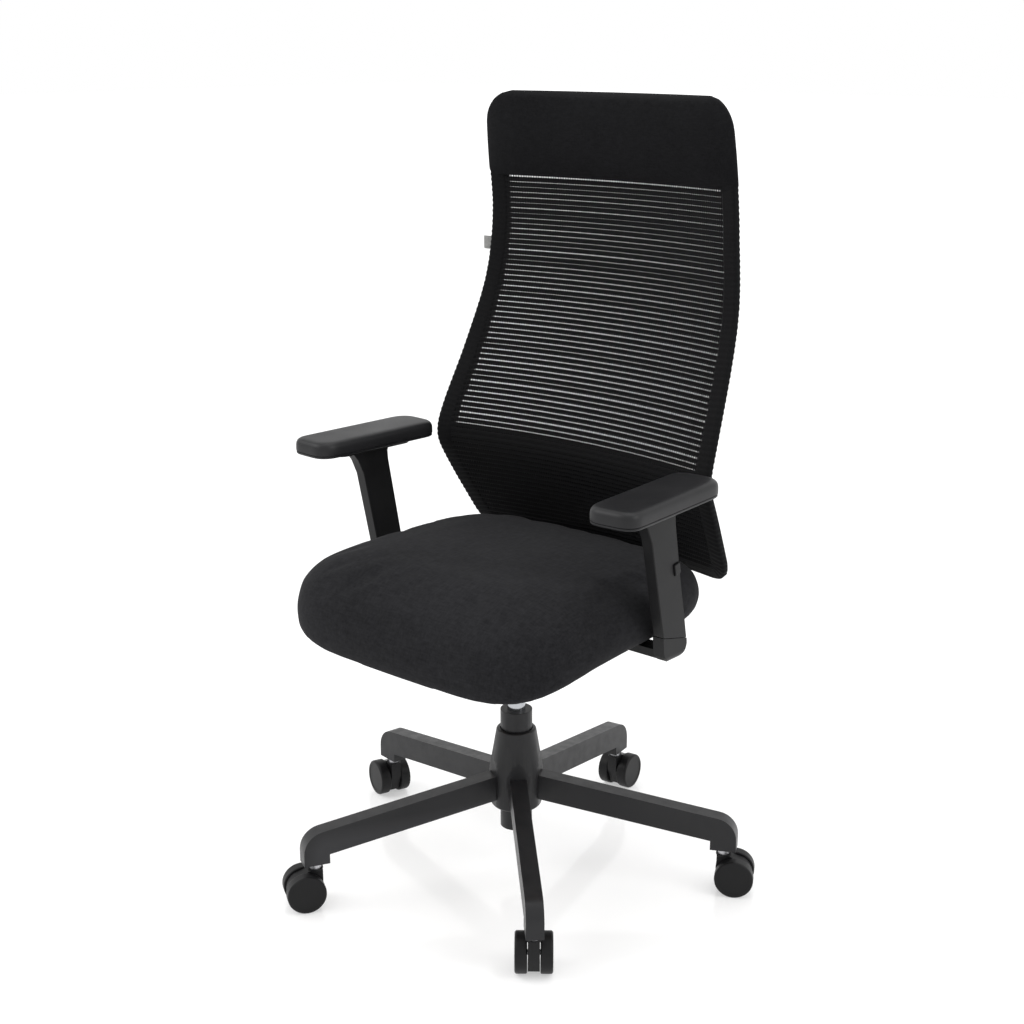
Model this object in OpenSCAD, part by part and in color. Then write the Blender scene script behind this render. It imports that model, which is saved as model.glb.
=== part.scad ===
// Swivel office chair with a tall mesh back, adjustable arms and a five-leg base.
// Origin on the floor at the column axis, +Z up, the sitter faces -Y. Millimetres.

/* [Base] */
// Radius of the circle that the caster stems stand on
caster_circle_r = 330; // [270:1:420]
// Height of the leg ends above the floor
leg_end_z = 71; // [69:1:80]
// Height of the leg's top edge, drawn on to the column axis
leg_root_z = 171; // [150:1:190]
// Fall of the legs from hub to caster, in degrees
leg_slope = 8.2; // [4:0.1:12]
// Width of the leg tube
leg_w = 26; // [24:1:34]
// Depth of the leg tube
leg_h = 40; // [32:1:48]
// Wall of the leg tube
leg_wall = 2.5; // [1.5:0.1:4]
// Bottom of the hub
hub_bottom_z = 109; // [100:1:115]
// Top of the hub
hub_top_z = 239; // [220:1:255]
// Largest radius of the hub
hub_r = 43; // [38:1:52]

/* [Column] */
// Outer radius of the column tube
tube_r = 25; // [22:0.5:28]
// Wall of the column tube
tube_wall = 1.5; // [1:0.1:2.5]
// Bottom of the column tube
tube_bottom_z = 72; // [60:1:80]
// Top of the column tube
tube_top_z = 270; // [262:1:274]
// Radius of the sliding gas cylinder
cylinder_r = 14; // [11:0.5:16]
// Radius of the piston rod
rod_r = 5; // [4:0.5:6]

/* [Casters] */
// Radius of a caster wheel
wheel_r = 30; // [26:1:31]
// Width of one wheel
wheel_w = 18; // [14:1:22]
// Width of the hood between the two wheels
hood_w = 17; // [14:1:22]
// Distance from the stem to the wheel axle
caster_trail = 18; // [14:1:24]
// Radius of the caster stem
stem_r = 5.5; // [5:0.1:6]
// Radius of the wheel axle
axle_r = 4; // [3:0.1:5]

/* [Mechanism] */
// Half width of the mechanism housing
mech_half_w = 56; // [50:1:64]
// Bottom of the mechanism housing
mech_bottom_z = 345; // [340:1:352]
// Top of the mechanism housing at its front
mech_top_z = 398; // [394:1:402]
// Wall of the mechanism housing
mech_wall = 3; // [2:0.1:4]
// Radius of the pivot pins
pivot_r = 5; // [4:0.5:6]
// Radius of the tension knob
knob_r = 22; // [16:1:28]

/* [Seat] */
// Width of the seat cushion
seat_w = 546; // [460:1:548]
// Front edge of the cushion ahead of the column axis
seat_front = 272; // [230:1:320]
// Rear edge of the cushion behind the column axis
seat_rear = 212; // [180:1:214]
// Underside of the cushion
seat_bottom_z = 438; // [436:1:446]
// Height of the cushion's crown
seat_top_z = 538; // [500:1:560]
// Fall of the front lip below the underside
lip_drop = 48; // [0:1:60]
// Thickness of the seat board
board_t = 12; // [9:0.5:16]

/* [Arms] */
// Distance from the middle of the chair to the middle of a pad
pad_x = 283; // [278:1:310]
// Top of the arm pads
pad_top_z = 680; // [660:1:720]
// Length of an arm pad
pad_l = 238; // [200:1:260]
// Width of an arm pad
pad_w = 80; // [60:1:96]
// Thickness of an arm pad
pad_t = 25; // [20:1:32]
// Outward turn of the pads' front ends, in degrees
pad_toe = 3.6; // [0:0.1:8]
// Inner face of the arm posts
post_x = 272; // [270:1:290]
// Thickness of an arm post
post_t = 18; // [16:0.5:26]
// Depth of an arm post, front to rear
post_d = 57; // [52:1:66]
// Forward lean of the arm posts, in degrees
post_lean = 11.7; // [0:0.1:14]

/* [Backrest] */
// Bottom edge of the backrest
back_bottom_z = 476; // [465:1:520]
// Top edge of the backrest
back_top_z = 1191; // [1080:1:1300]
// Width of the backrest at the lumbar
back_w = 536; // [450:1:538]
// Width of the backrest at its top
back_top_w = 452; // [380:1:480]
// Height of the lumbar, where the back stands furthest forward
lumbar_z = 642; // [620:1:660]
// Depth of the hollow across the back
back_hollow = 34; // [20:1:40]
// Radius of the backrest's top corners
top_corner_r = 46; // [30:1:60]
// Radius of the backrest's bottom corners
bottom_corner_r = 30; // [15:1:40]
// Width of the frame around the mesh
frame_w = 28; // [20:1:36]
// Thickness of the frame
frame_t = 14; // [10:1:18]
// Height of the headrest pad
headrest_h = 125; // [90:1:160]
// Thickness of the headrest pad
headrest_t = 24; // [16:1:50]
// Width of the back bar
bar_w = 60; // [40:1:80]
// Thickness of the back bar
bar_t = 14; // [10:1:18]

/* [Hidden] */
$fn = 64;
eps = 0.01;
run_gap = 0.05;      // radial clearance of every running fit
slide_gap = 0.4;     // clearance between sliding flat faces

legs = 5;
leg_first = -45;
caster_heading = [130, 30, 97, 160, 238];
sides = [["left", 1], ["right", -1]];

// ---- shared shapes ----

// Points of an arc about (cx, cy), from angle a to angle b
function arc(cx, cy, r, a, b, n = 8) = [for (i = [0:n]) let (t = a + (b - a) * i / n)
    [cx + r * cos(t), cy + r * sin(t)]];

// Outline of a rectangle with round corners, centred
function round_rect(w, h, r, n = 6) = concat(
    arc(w / 2 - r, h / 2 - r, r, 0, 90, n), arc(-w / 2 + r, h / 2 - r, r, 90, 180, n),
    arc(-w / 2 + r, -h / 2 + r, r, 180, 270, n), arc(w / 2 - r, -h / 2 + r, r, 270, 360, n));

// Value at x of a smooth curve through rising stations [x, value]
function curve(st, x, i = 0) = i >= len(st) - 2 || x <= st[i + 1][0]
    ? hermite(st, min(i, len(st) - 2), x) : curve(st, x, i + 1);
function rise(st, i) = i <= 0 ? (st[1][1] - st[0][1]) / (st[1][0] - st[0][0])
    : i >= len(st) - 1 ? (st[i][1] - st[i - 1][1]) / (st[i][0] - st[i - 1][0])
    : (st[i + 1][1] - st[i - 1][1]) / (st[i + 1][0] - st[i - 1][0]);
function hermite(st, i, x) = let (h = st[i + 1][0] - st[i][0], t = (x - st[i][0]) / h)
    (2 * t * t * t - 3 * t * t + 1) * st[i][1] + (t * t * t - 2 * t * t + t) * h * rise(st, i)
    + (3 * t * t - 2 * t * t * t) * st[i + 1][1] + (t * t * t - t * t) * h * rise(st, i + 1);

// Faces that close a ring of n points: one flat face, or a strip between the ring's two sides
function end_faces(n, first, strip) = strip
    ? [for (i = [0:n / 2 - 2]) [first + i, first + i + 1, first + n - 2 - i, first + n - 1 - i]]
    : [[for (i = [0:n - 1]) first + i]];
function flipped(faces) = [for (f = faces) [for (i = [len(f) - 1:-1:0]) f[i]]];

// Closed solid from rings of equal length
module skin(rings, strip = false) {
    n = len(rings[0]);
    m = len(rings);
    faces = concat(
        [for (j = [0:m - 2], i = [0:n - 1]) let (k = (i + 1) % n)
            [j * n + i, j * n + k, (j + 1) * n + k]],
        [for (j = [0:m - 2], i = [0:n - 1]) let (k = (i + 1) % n)
            [j * n + i, (j + 1) * n + k, (j + 1) * n + i]],
        flipped(end_faces(n, 0, strip)), end_faces(n, (m - 1) * n, strip));
    polyhedron(points = [for (r = rings, p = r) p], faces = faces);
}

// Extrudes a (y, z) outline along X, from x0 to x1
module along_x(x0, x1) {
    translate([x0, 0, 0]) rotate([90, 0, 90]) linear_extrude(x1 - x0) children();
}

module ring(r_out, r_in, z0, z1) {
    translate([0, 0, z0]) difference() {
        cylinder(r = r_out, h = z1 - z0);
        translate([0, 0, -1]) cylinder(r = r_in, h = z1 - z0 + 2);
    }
}

// ---- base ----

leg_tip_r = caster_circle_r + 20;
tip_bend_r = 34;
socket_r = 10;
socket_top_z = leg_end_z + 36;
hub_root_r = hub_r - 7;

function leg_top(r) = leg_root_z - r * tan(leg_slope);

// Side view of a leg, drawn in by a wall thickness
function leg_outline(inset, r0) = let (
        cx = leg_tip_r - tip_bend_r,
        cz = leg_top(cx) - tip_bend_r / cos(leg_slope),
        under = leg_h / cos(leg_slope),
        heel = caster_circle_r - 20)
    concat(
        [[r0, leg_top(r0) - inset]],
        arc(cx, cz, tip_bend_r - inset, 90 - leg_slope, 0),
        [[leg_tip_r - inset, leg_end_z + inset], [heel + inset, leg_end_z + inset],
         [heel + inset, leg_top(heel) - under + inset], [r0, leg_top(r0) - under + inset]]);

module leg_slab(outline, w) {
    rotate([90, 0, 0]) linear_extrude(w, center = true) polygon(outline);
}

module hub_body() {
    rotate_extrude($fn = 96) polygon(concat(
        [[0, hub_bottom_z], [hub_r - 6, hub_bottom_z], [hub_r - 3, hub_bottom_z + 4], [hub_r, hub_top_z - 73]],
        arc(31.5 - 4, hub_top_z - 4, 4, 20, 90, 4),
        [[0, hub_top_z]]));
}

// What a flat facet above each leg takes off the hub
module hub_facets() {
    for (i = [0:legs - 1]) rotate([0, 0, leg_first + i * 360 / legs])
        translate([hub_r - 4, -40, hub_bottom_z - 1]) cube([20, 80, hub_top_z]);
}

module base_hub() {
    color("#1b1c1e") difference() {
        hub_body();
        translate([0, 0, hub_bottom_z - 1]) cylinder(r = tube_r, h = hub_top_z);
        hub_facets();
    }
}

module base_legs() {
    color("#1b1c1e") for (i = [0:legs - 1]) difference() {
        rotate([0, 0, leg_first + i * 360 / legs]) difference() {
            leg_slab(leg_outline(0, hub_root_r), leg_w);
            leg_slab(leg_outline(leg_wall, hub_root_r - 1), leg_w - 2 * leg_wall);
            translate([caster_circle_r, 0, leg_end_z - 1]) cylinder(r = socket_r, h = leg_wall + 2);
        }
        difference() {
            hub_body();
            hub_facets();
        }
    }
}

module stem_sockets() {
    color("#2b2c2e") for (i = [0:legs - 1]) rotate([0, 0, leg_first + i * 360 / legs])
        translate([caster_circle_r, 0, 0]) difference() {
            translate([0, 0, leg_end_z]) cylinder(r = socket_r, h = socket_top_z - leg_end_z - 4);
            translate([0, 0, leg_end_z - 1]) cylinder(r = stem_r + run_gap, h = socket_top_z);
        }
}

// ---- column ----

bush_bottom_z = tube_top_z - 70;
cylinder_bottom_z = tube_bottom_z + 76;
cylinder_top_z = mech_bottom_z + 31;
cylinder_bore_r = cylinder_r - 3;
piston_z = 206;

module gas_tube() {
    color("#202123") {
        difference() {
            translate([0, 0, tube_bottom_z]) cylinder(r = tube_r, h = tube_top_z - tube_bottom_z);
            translate([0, 0, tube_bottom_z + 3]) cylinder(r = tube_r - tube_wall, h = tube_top_z);
            translate([0, 0, tube_bottom_z - 1]) cylinder(r = rod_r + 1, h = 6);
        }
    }
}

module tube_bush() {
    color("#111213") ring(tube_r - tube_wall, cylinder_r + run_gap, bush_bottom_z, tube_top_z);
}

module thrust_bearing() {
    color("silver") ring(14, rod_r + run_gap, tube_bottom_z + 3, tube_bottom_z + 10);
}

module piston_rod() {
    color("silver") {
        translate([0, 0, tube_bottom_z - 4]) cylinder(r = rod_r, h = piston_z - tube_bottom_z + 4);
        translate([0, 0, piston_z]) cylinder(r = cylinder_bore_r - run_gap, h = 8);
        // washer on the bearing and retaining clip under the tube
        ring(11, rod_r, tube_bottom_z + 10 + run_gap, tube_bottom_z + 13);
        ring(9, rod_r, tube_bottom_z - 3, tube_bottom_z - 0.5);
    }
}

valve_r = 3;
valve_top_z = cylinder_top_z + 6;

module gas_cylinder() {
    color("#c9cacc") difference() {
        translate([0, 0, cylinder_bottom_z]) cylinder(r = cylinder_r, h = cylinder_top_z - cylinder_bottom_z);
        translate([0, 0, cylinder_bottom_z + 12])
            cylinder(r = cylinder_bore_r, h = cylinder_top_z - cylinder_bottom_z - 40);
        translate([0, 0, cylinder_bottom_z - 1]) cylinder(r = rod_r + run_gap, h = 20);
        translate([0, 0, cylinder_top_z - 18]) cylinder(r = valve_r + run_gap, h = 30);
    }
}

module valve_pin() {
    color("silver") translate([0, 0, cylinder_top_z - 12]) cylinder(r = valve_r, h = valve_top_z - cylinder_top_z + 12);
}

// ---- mechanism ----

mech_front = -100;
mech_rear = 66;
seat_pivot = [-80, mech_top_z - 10];
back_pivot = [40, mech_bottom_z + 25];
mech_top_rear_z = mech_bottom_z + 42;
lever_y = -24;
lever_z = cylinder_top_z + 6.3;
lever_pivot_x = -mech_half_w + 6;
lever_reach = 150;
tilt_lever_y = 8;
tilt_lever_z = mech_bottom_z + 14;
knob_y = -62;
screw_r = 4;

module pivot_at(p, r) {
    translate([0, p[0], p[1]]) rotate([0, 90, 0]) cylinder(r = r, h = 200, center = true);
}

module mechanism_housing() {
    color("#26272a") difference() {
        union() {
            difference() {
                along_x(-mech_half_w, mech_half_w) polygon([
                    [mech_front, mech_bottom_z + 14], [mech_front + 12, mech_bottom_z], [mech_rear, mech_bottom_z],
                    [mech_rear, mech_top_rear_z], [-40, mech_top_z], [mech_front, mech_top_z]]);
                along_x(-mech_half_w + mech_wall, mech_half_w - mech_wall) polygon([
                    [mech_front + mech_wall, mech_bottom_z + 15],
                    [mech_front + 12 + mech_wall, mech_bottom_z + mech_wall],
                    [mech_rear - mech_wall, mech_bottom_z + mech_wall], [mech_rear - mech_wall, mech_top_z + 1],
                    [mech_front + mech_wall, mech_top_z + 1]]);
            }
            translate([0, 0, mech_bottom_z - 10]) cylinder(r = cylinder_r + 8, h = 34);
            translate([0, knob_y, mech_bottom_z]) cylinder(r = screw_r + 5, h = 9);
        }
        translate([0, 0, mech_bottom_z - 11]) cylinder(r = cylinder_r, h = 60);
        translate([0, knob_y, mech_bottom_z - 1]) cylinder(r = screw_r + run_gap, h = 20);
        pivot_at(seat_pivot, pivot_r);
        pivot_at(back_pivot, pivot_r);
        // windows for the two lever shafts
        translate([-mech_half_w - 1, lever_y - 8, lever_z - 8]) cube([mech_wall + 2, 16, 16]);
        translate([-mech_half_w - 1, tilt_lever_y, tilt_lever_z]) rotate([0, 90, 0])
            cylinder(r = 4 + run_gap, h = mech_wall + 2);
    }
}

module pivot_pins() {
    color("silver") for (p = [seat_pivot, back_pivot])
        translate([0, p[0], p[1]]) rotate([0, 90, 0]) cylinder(r = pivot_r, h = 2 * mech_half_w + 20, center = true);
}

spring_r = 13;
spring_wire_r = 2;
spring_turns = 5;
spring_bottom_z = mech_bottom_z + 12;
spring_top_z = mech_top_z - 22;

module tension_spring() {
    steps = 12;
    pitch = (spring_top_z - spring_bottom_z) / spring_turns;
    color("silver") translate([0, knob_y, spring_bottom_z]) skin(
        [for (j = [0:spring_turns * steps]) let (a = j * 360 / steps, z = pitch * j / steps)
            [for (k = [0:5]) let (r = spring_r + spring_wire_r * cos(k * 60))
                [r * cos(a), r * sin(a), z + spring_wire_r * sin(k * 60)]]]);
}

module tension_knob() {
    color("#151617") {
        translate([0, knob_y, mech_bottom_z - 28]) difference() {
            cylinder(r = knob_r, h = 22);
            for (i = [0:7]) rotate([0, 0, i * 45]) translate([knob_r + 4, 0, -1]) cylinder(r = 6.5, h = 24);
        }
        translate([0, knob_y, mech_bottom_z - 6.5]) cylinder(r = screw_r, h = 48);
    }
}

module height_lever() {
    color("#1a1b1d") {
        translate([lever_pivot_x, lever_y, lever_z]) rotate([90, 0, 0]) cylinder(r = 6, h = 14, center = true);
        translate([lever_pivot_x - lever_reach, lever_y, lever_z]) rotate([0, 90, 0])
            cylinder(r = 4, h = lever_reach + 2);
        translate([lever_pivot_x, lever_y - 5, lever_z]) cube([-lever_pivot_x + 8, 10, 4]);
        translate([-8, lever_y - 5, lever_z]) cube([16, -lever_y + 12, 4]);
        translate([lever_pivot_x - lever_reach - 20, lever_y, lever_z - 4]) linear_extrude(8)
            polygon(round_rect(52, 26, 10));
    }
}

module tilt_lever() {
    color("#1a1b1d") {
        translate([-mech_half_w - lever_reach + 20, tilt_lever_y, tilt_lever_z]) rotate([0, 90, 0])
            cylinder(r = 4, h = lever_reach + 10);
        translate([-mech_half_w - lever_reach, tilt_lever_y + 8, tilt_lever_z - 4]) linear_extrude(8)
            polygon(round_rect(46, 30, 10));
    }
}

// ---- seat ----

seat_y = (seat_rear - seat_front) / 2;
seat_half_l = (seat_rear + seat_front) / 2;
seat_rear_ratio = 0.9;
board_inset = 62;
plate_t = 5;
plate_half_w = 96;

// Half width factor of a rounded oblong, t from -1 at the front to 1 at the rear
function squircle(t, n) = pow(max(0, 1 - pow(abs(t), n)), 1 / n);
function seat_taper(t) = 1 - (1 - seat_rear_ratio) * (t + 1) / 2;

// One closed ring of the seat, grown by a share of the full outline, at heights from a rule
function seat_ring(share, n = 48) = [for (i = [0:n - 1]) let (
        a = i * 360 / n,
        c = cos(a), s = sin(a), e = 2 / 4.8,
        x = sign(c) * pow(abs(c), e), t = sign(s) * pow(abs(s), e))
    [share * seat_w / 2 * x * seat_taper(t), seat_y + share * seat_half_l * t, t * share]];
function lip(t) = -lip_drop * pow(max(0, -t), 3);
function crown(t) = -16 * pow(max(0, -t), 3) - 12 * pow(max(0, t), 2);

// Height levels of the cushion's shell, [share of the outline, share of the thickness]
seat_levels = [[0.87, 0], [0.95, 0.02], [0.985, 0.09], [1, 0.22], [0.998, 0.4], [0.975, 0.62],
               [0.92, 0.77], [0.8, 0.89], [0.56, 0.972], [0.25, 1]];

module seat_cushion() {
    th = seat_top_z - seat_bottom_z;
    color("#26272b") difference() {
        skin([for (l = seat_levels) [for (p = seat_ring(l[0]))
            [p[0], p[1], seat_bottom_z + th * l[1] + (1 - l[1]) * lip(p[2]) + l[1] * crown(p[2])]]]);
        translate([0, 0, seat_bottom_z - lip_drop - 5]) linear_extrude(lip_drop + 5 + board_t)
            polygon(board_outline(0));
        // relief over the arm bars
        for (s = [-1, 1]) translate([s * seat_w / 2, bracket_y, seat_bottom_z - lip_drop / 2 + 1])
            cube([seat_w / 2, 2 * bar_half_y + 2, lip_drop], center = true);
    }
}

function board_outline(inset) = [for (p = round_rect(seat_w - 2 * board_inset - 2 * inset,
        seat_half_l * 2 - board_inset * 1.6 - 2 * inset, 60)) [p[0], p[1] + seat_y]];

bar_half_y = 15;
bracket_y = 4;
arm_bolt_x = [130, 175];
plate_bolts = [[-70, -60], [70, -60], [-70, 50], [70, 50]];

module bolt_at(x, y, r, z) {
    translate([x, y, z]) cylinder(r = r, h = 60, center = true);
}

module seat_board() {
    color("#8a6b45") difference() {
        translate([0, 0, seat_bottom_z]) linear_extrude(board_t) polygon(board_outline(0));
        for (p = plate_bolts) bolt_at(p[0], p[1], 3, seat_bottom_z);
        for (s = [-1, 1], x = arm_bolt_x) bolt_at(s * x, bracket_y, 3, seat_bottom_z);
    }
}

module seat_plate() {
    z0 = seat_bottom_z - plate_t;
    color("#2a2b2e") difference() {
        union() {
            translate([-plate_half_w, -110, z0]) cube([2 * plate_half_w, 200, plate_t]);
            // ears that hang on the front pivot, outside the housing
            for (s = [-1, 1]) translate([s > 0 ? mech_half_w + 1 : -mech_half_w - 7, 0, 0]) along_x(0, 6)
                polygon([[seat_pivot[0] - 14, z0 + eps], [seat_pivot[0] - 9, seat_pivot[1] - 9],
                         [seat_pivot[0] + 9, seat_pivot[1] - 9], [seat_pivot[0] + 14, z0 + eps]]);
        }
        pivot_at(seat_pivot, pivot_r + run_gap);
        for (p = plate_bolts) bolt_at(p[0], p[1], 3, seat_bottom_z);
    }
}

module seat_bolt(x, y, z) {
    translate([x, y, z - 4]) cylinder(r = 6, h = 4, $fn = 6);
    translate([x, y, z - eps]) cylinder(r = 3, h = seat_bottom_z + board_t - 2 - z);
}

module seat_bolts() {
    color("silver") {
        for (p = plate_bolts) seat_bolt(p[0], p[1], seat_bottom_z - plate_t);
        for (s = [-1, 1], x = arm_bolt_x) seat_bolt(s * x, bracket_y, seat_bottom_z - bracket_t);
    }
}

// ---- arms ----

bracket_t = 12;
seam_z = 456;                       // middle of the seam between bracket and sleeve
seam_y = 8;
pad_bottom_z = pad_top_z - pad_t;
pad_y = -37;
rail_h = 6;
slide_plate_t = 5;
sleeve_top_z = pad_bottom_z - slide_plate_t - slide_gap;
upright_d = 38;
upright_t = 9;
post_mid_x = post_x + post_t / 2;

// Point on the post's leaning centre line at height z
function post_y(z) = seam_y - (z - seam_z) * tan(post_lean);

// Mirrors its children to the sitter's right for side -1
module side(s) {
    mirror([s > 0 ? 0 : 1, 0, 0]) children();
}

module arm_bracket(s) {
    half = post_d / 2 / cos(post_lean);
    foot_z = seat_bottom_z - 18;
    color("#1c1d1f") side(s) difference() {
        union() {
            // bar under the seat board
            translate([arm_bolt_x[0] - 22, bracket_y - bar_half_y, seat_bottom_z - bracket_t])
                cube([post_x + post_t - arm_bolt_x[0] + 16, 2 * bar_half_y, bracket_t - eps]);
            // foot under the post, round below
            along_x(post_x - 1, post_x + post_t) polygon(concat(
                [[seam_y - half + 1, seam_z + 6], [seam_y - half + 3, foot_z + 20]],
                arc(seam_y - half + 27, foot_z + 24, 24, 205, 268, 6),
                arc(seam_y + half - 23, foot_z + 24, 24, 272, 350, 7),
                [[seam_y + half, seam_z - 8]]));
        }
        for (x = arm_bolt_x) bolt_at(x, bracket_y, 3, seat_bottom_z);
        // outer lower edge rounded
        difference() {
            translate([post_x + post_t - 12, -60, foot_z - 1]) cube([13, 130, 13]);
            translate([post_x + post_t - 12, -60, foot_z + 12]) rotate([-90, 0, 0]) cylinder(r = 12, h = 130);
        }
        lean_box(upright_t, upright_d, -12, 12);
    }
}

// Box along the post's axis; z0 and z1 are measured along it from the seam
module lean_box(t, d, z0, z1) {
    translate([post_mid_x, seam_y, seam_z]) rotate([post_lean, 0, 0])
        translate([-t / 2, -d / 2, z0]) cube([t, d, z1 - z0]);
}

module arm_upright(s) {
    color("#8c8e91") side(s) lean_box(upright_t, upright_d, -12, 150);
}

module arm_sleeve(s) {
    half = post_d / 2 / cos(post_lean);
    top = sleeve_top_z;
    color("#1c1d1f") side(s) difference() {
        intersection() {
            along_x(post_x, post_x + post_t) polygon(concat(
                [[seam_y - half + 1, seam_z + 6.5], [seam_y + half, seam_z - 7.5]],
                [[post_y(top - 24) + half, top - 24], [post_y(top - 10) + half + 2, top - 10],
                 [post_y(top) + half + 8, top], [post_y(top) - half - 16, top],
                 [post_y(top - 16) - half - 6, top - 16], [post_y(top - 40) - half, top - 40]]));
            // long outer edges rounded
            translate([post_mid_x, seam_y, seam_z]) rotate([post_lean, 0, 0]) translate([0, 0, -40])
                linear_extrude(320) polygon(round_rect(post_t, post_d + 60, 5, 4));
        }
        lean_box(upright_t + 2 * slide_gap, upright_d + 2 * slide_gap, -30, 172);
        // pocket for the height button
        button_block(s, slide_gap);
    }
}

// The height buttons sit on the outer face: at the rear edge on the left arm and the front edge on the right
function button_place(s) = s > 0 ? [19, 94] : [-19, 130];
module button_block(s, gap) {
    b = button_place(s);
    translate([post_mid_x, seam_y, seam_z]) rotate([post_lean, 0, 0])
        translate([upright_t / 2 + 1.2 - gap, b[0] - 6 - gap, b[1] - gap])
            cube([post_t / 2 + 6, 12 + 2 * gap, 16 + 2 * gap]);
}

module height_button(s) {
    b = button_place(s);
    color("#0e0f10") side(s) translate([post_mid_x, seam_y, seam_z]) rotate([post_lean, 0, 0])
        translate([post_t / 2 - 1.5, b[0] - 6, b[1]]) cube([4.5, 12, 16]);
}

// Places its children in the pad's frame: origin at the pad's centre on its underside
module pad_frame(s) {
    side(s) translate([pad_x, pad_y, pad_bottom_z]) rotate([0, 0, pad_toe]) children();
}
module pad_slide(s) {
    color("#2a2b2d") pad_frame(s) difference() {
        union() {
            translate([0, 0, -slide_plate_t - slide_gap]) linear_extrude(slide_plate_t)
                polygon(round_rect(pad_w - 26, 150, 16));
            translate([-10, -60, -slide_gap - eps]) cube([20, 120, rail_h]);
        }
        button_pocket(slide_gap);
    }
}

module button_pocket(gap) {
    translate([0, -54, -20]) cylinder(r = 7 + gap, h = 40);
}

function pad_outline() = concat(
    arc(pad_w / 2 - 26, pad_l / 2 - 26, 26, 0, 90), arc(-pad_w / 2 + 20, pad_l / 2 - 20, 20, 90, 180),
    arc(-pad_w / 2 + 24, -pad_l / 2 + 24, 24, 180, 270), arc(pad_w / 2 - 20, -pad_l / 2 + 20, 20, 270, 360));

pad_travel_front = 35;
pad_travel_rear = 15;

module arm_pad(s) {
    color("#1f2022") pad_frame(s) difference() {
        linear_extrude(pad_t) polygon(pad_outline());
        // slot for the rail, long enough for the pad's travel
        translate([-10 - slide_gap, -60 - pad_travel_rear - 1, -1])
            cube([20 + 2 * slide_gap, 120 + pad_travel_front + pad_travel_rear + 2, rail_h + 2]);
    }
}

module pad_button(s) {
    color("#0e0f10") pad_frame(s) translate([0, -54, -slide_plate_t - 4]) cylinder(r = 7, h = 9);
}

// ---- backrest ----

// How far behind the column axis the side edges stand, at each height
back_side = [[back_bottom_z, 206], [lumbar_z - 28, 126], [lumbar_z + 4, 112], [lumbar_z + 38, 117.5],
             [lumbar_z + 160, 172], [lumbar_z + 258, 206], [lumbar_z + 368, 212],
             [lumbar_z + 458, 201], [back_top_z, 188]];
// Half width of the back at each height
back_half = [[back_bottom_z, back_w / 2 - 20], [lumbar_z, back_w / 2], [lumbar_z + 150, back_w / 2 - 12.5],
             [lumbar_z + 340, back_top_w / 2 + 9], [back_top_z - 90, back_top_w / 2 + 6],
             [back_top_z, back_top_w / 2]];

function back_y(x, z) = let (w = curve(back_half, z), u = min(1, abs(x) / w))
    curve(back_side, z) + back_hollow * (1 - u * u);

// Half width with the round corners taken off, drawn in by an inset
function back_edge(z, inset) = let (
        rt = max(4, top_corner_r - inset), rb = max(4, bottom_corner_r - inset),
        up = max(0, z - (back_top_z - inset - rt)), dn = max(0, (back_bottom_z + inset + rb) - z))
    curve(back_half, z) - inset
    - (rt - sqrt(max(0, rt * rt - up * up))) - (rb - sqrt(max(0, rb * rb - dn * dn)));

// Heights that every sheet of the back shares, so that layers run parallel: close together round the
// corners and at the lumbar
back_heights = concat(
    [for (a = [8:16:88]) back_bottom_z + bottom_corner_r * (1 - cos(a))],
    [for (k = [1:18]) back_bottom_z + bottom_corner_r + k * (lumbar_z + 68 - back_bottom_z - bottom_corner_r) / 18],
    [for (k = [1:14]) lumbar_z + 68 + k * (back_top_z - top_corner_r - lumbar_z - 68) / 14],
    [for (a = [14:12:86]) back_top_z - top_corner_r * (1 - sin(a))]);
function heights_between(z0, z1) = concat([z0], [for (z = back_heights) if (z > z0 + 1 && z < z1 - 1) z], [z1]);

// Closed solid that follows the back between two heights, from y offset front to offset rear;
// a bulge swells its front between its two edges
module back_sheet(z0, z1, inset, front, rear, bulge = 0, cols = 12) {
    skin([for (z = heights_between(z0, z1)) let (
            w = back_edge(z, inset), swell = bulge * pow(sin(180 * (z - z0) / (z1 - z0)), 0.6))
        concat(
            [for (i = [0:cols]) let (x = -w + 2 * w * i / cols, e = 1 - pow(abs(x) / w, 8))
                [x, back_y(x, z) + front - swell * e, z]],
            [for (i = [cols:-1:0]) let (x = -w + 2 * w * i / cols) [x, back_y(x, z) + rear, z]])],
        strip = true);
}

// Frame: a loop of four-sided sections between the outline and the same outline drawn in
corner_reach = 20;
rear_draft = 8;      // how far the frame's rear face is drawn in from its outline

// Height of an outline point once the outline is drawn in; the corners give way gradually
function drawn_height(z, inset) = let (reach = inset + corner_reach)
    z + inset * (max(0, 1 - (z - back_bottom_z) / reach) - max(0, 1 - (back_top_z - z) / reach));

function frame_loop(inset, cols = 12) = let (
        zs = [for (z = heights_between(back_bottom_z, back_top_z)) drawn_height(z, inset)],
        last = len(zs) - 1, wb = back_edge(zs[0], inset), wt = back_edge(zs[last], inset))
    concat(
        [for (i = [1:cols - 1]) [-wb + 2 * wb * i / cols, zs[0]]],
        [for (z = zs) [back_edge(z, inset), z]],
        [for (i = [1:cols - 1]) [wt - 2 * wt * i / cols, zs[last]]],
        [for (j = [last:-1:0]) [-back_edge(zs[j], inset), zs[j]]]);

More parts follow.
